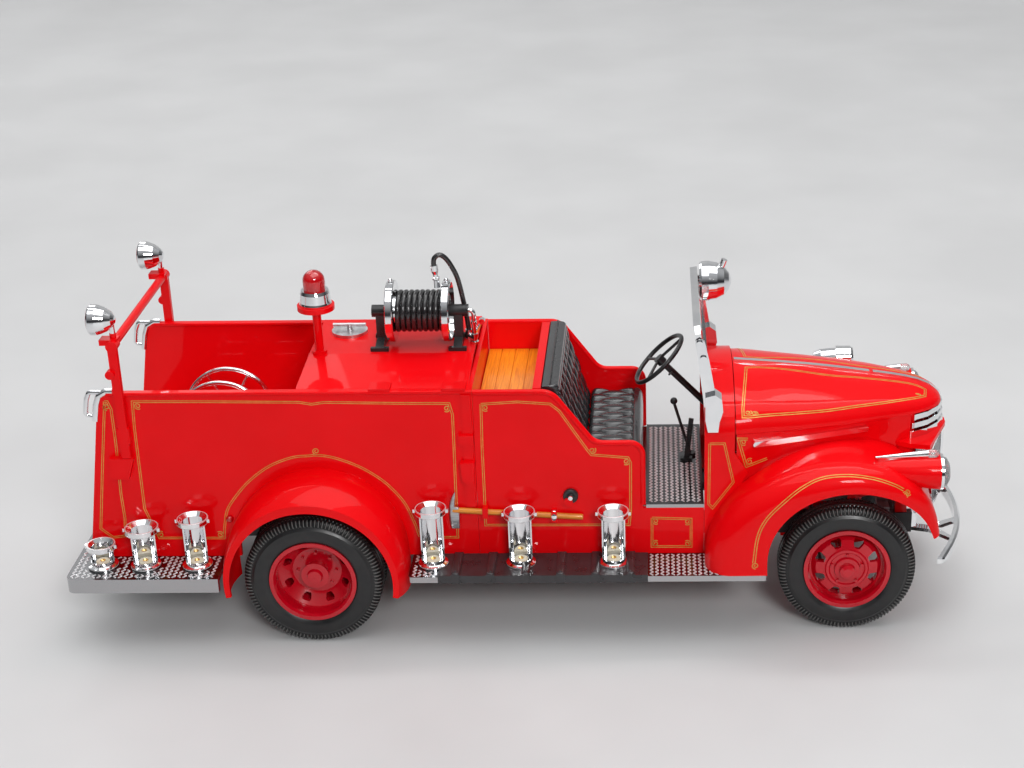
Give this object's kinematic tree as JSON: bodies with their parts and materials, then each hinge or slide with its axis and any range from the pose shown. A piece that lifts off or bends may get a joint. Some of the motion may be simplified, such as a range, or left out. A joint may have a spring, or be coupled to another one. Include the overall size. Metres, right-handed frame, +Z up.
{
  "type": "open-cab fire engine scale model",
  "caption": "Die-cast scale model of an open-cab pumper fire engine with opening hood, steered front wheels, turning wheels and bed reel, hose reel, cups on its boards.",
  "frame": {"origin": "on the ground under the middle of the model's length and width, without the free hose end", "axes": "+X forward along the length, +Y to the model's left, +Z up"},
  "size_m": [0.287, 0.092, 0.1158],
  "materials": {
    "red_paint": "high gloss enamel",
    "frame_black": "satin",
    "engine_paint": "satin",
    "tyre_rubber": "matt",
    "chrome": "mirror",
    "tread_plate": "bright tread pattern",
    "hatch_metal": "satin",
    "red_lens": "translucent red",
    "wood": "varnished",
    "leather": "tufted black",
    "mat_rubber": "matt",
    "axe_wood": "varnished",
    "black_plastic": "satin",
    "hose_rubber": "satin",
    "clear_lens": "clear",
    "window": "clear"
  },
  "bodies": {
    "chassis": {"frame": "frame_black", "rear_axle": "frame_black", "front_axle": "frame_black", "engine": "engine_paint", "radiator": "frame_black", "cowl": "red_paint", "nose": "red_paint", "nose_trim": "chrome", "lower_grille": "chrome", "front_fenders": "red_paint", "rear_fenders": "red_paint", "hose_body": "red_paint", "tank_deck": "red_paint", "tank_hatch": "hatch_metal", "beacon_drum": "chrome", "beacon_dome": "red_lens", "cab_sides": "red_paint", "seat_panel": "red_paint", "wood_floor": "wood", "cab_floor": "tread_plate", "seat_cushion": "leather", "seat_back": "leather", "running_boards": "tread_plate", "board_mats": "mat_rubber", "tailboard": "tread_plate", "cups": "chrome", "wall_hardware": "red_paint", "light_bar": "red_paint", "rear_lamps": "chrome", "grab_handles": "chrome", "axe": "axe_wood", "reel_stands": "black_plastic", "reel_flanges": "chrome", "reel_hose": "hose_rubber", "reel_pipe": "chrome", "hose_tail": "hose_rubber", "nozzle": "chrome", "bed_reel_stand": "frame_black", "bumper": "chrome", "lamp_trims": "chrome", "lamp_lenses": "clear_lens", "siren": "chrome", "windshield_frame": "chrome", "windshield_glass": "window", "driver_controls": "black_plastic"},
    "knuckle_left": {"knuckle_left": "frame_black"},
    "knuckle_right": {"knuckle_right": "frame_black"},
    "tie_rod": {"tie_rod": "frame_black"},
    "wheel_front_left": {"rim_front_left": "red_paint", "tyre_front_left": "tyre_rubber"},
    "wheel_front_right": {"rim_front_right": "red_paint", "tyre_front_right": "tyre_rubber"},
    "wheels_rear_left": {"rims_rear_left": "red_paint", "tyres_rear_left": "tyre_rubber"},
    "wheels_rear_right": {"rims_rear_right": "red_paint", "tyres_rear_right": "tyre_rubber"},
    "hood": {"hood": "red_paint", "hood_strip": "chrome"},
    "steering_wheel": {"steering_wheel": "black_plastic"},
    "bed_reel": {"bed_reel": "chrome"}
  },
  "joints": [
    {"name": "steer_left", "type": "hinge", "parent": "chassis", "child": "knuckle_left", "pos_m": [0.1033, 0.0244, 0.0219], "axis": [0, 0, 1], "range_deg": [-20, 20]},
    {"name": "steer_right", "type": "hinge", "parent": "chassis", "child": "knuckle_right", "pos_m": [0.1033, -0.0244, 0.0219], "axis": [0, 0, 1], "range_deg": [-20, 20]},
    {"name": "tie_rod_slide", "type": "slide", "parent": "chassis", "child": "tie_rod", "axis": [0, 1, 0], "range_m": [-0.00245, 0.00245]},
    {"name": "spin_front_left", "type": "hinge", "parent": "knuckle_left", "child": "wheel_front_left", "pos_m": [0.1033, 0.0322, 0.0219], "axis": [0, 1, 0], "continuous": true},
    {"name": "spin_front_right", "type": "hinge", "parent": "knuckle_right", "child": "wheel_front_right", "pos_m": [0.1033, -0.0322, 0.0219], "axis": [0, 1, 0], "continuous": true},
    {"name": "spin_rear_left", "type": "hinge", "parent": "chassis", "child": "wheels_rear_left", "pos_m": [-0.066, 0.0331, 0.0219], "axis": [0, 1, 0], "continuous": true},
    {"name": "spin_rear_right", "type": "hinge", "parent": "chassis", "child": "wheels_rear_right", "pos_m": [-0.066, -0.0331, 0.0219], "axis": [0, 1, 0], "continuous": true},
    {"name": "hood_hinge", "type": "hinge", "parent": "chassis", "child": "hood", "pos_m": [0.06765, 0, 0.0798], "axis": [0, -1, 0], "range_deg": [0, 50]},
    {"name": "steering_wheel_turn", "type": "hinge", "parent": "chassis", "child": "steering_wheel", "pos_m": [0.044, 0.014, 0.074], "axis": [0.6947, 0, -0.7193], "range_deg": [-121, 121]},
    {"name": "bed_reel_spin", "type": "hinge", "parent": "chassis", "child": "bed_reel", "pos_m": [-0.0984, 0, 0.061], "axis": [0, 1, 0], "continuous": true}
  ],
  "couplings": [
    {"joint": "steer_right", "follows": "steer_left", "ratio": 1},
    {"joint": "tie_rod_slide", "follows": "steer_left", "m_per_rad": -0.007},
    {"joint": "steering_wheel_turn", "follows": "steer_left", "ratio": -6}
  ]
}
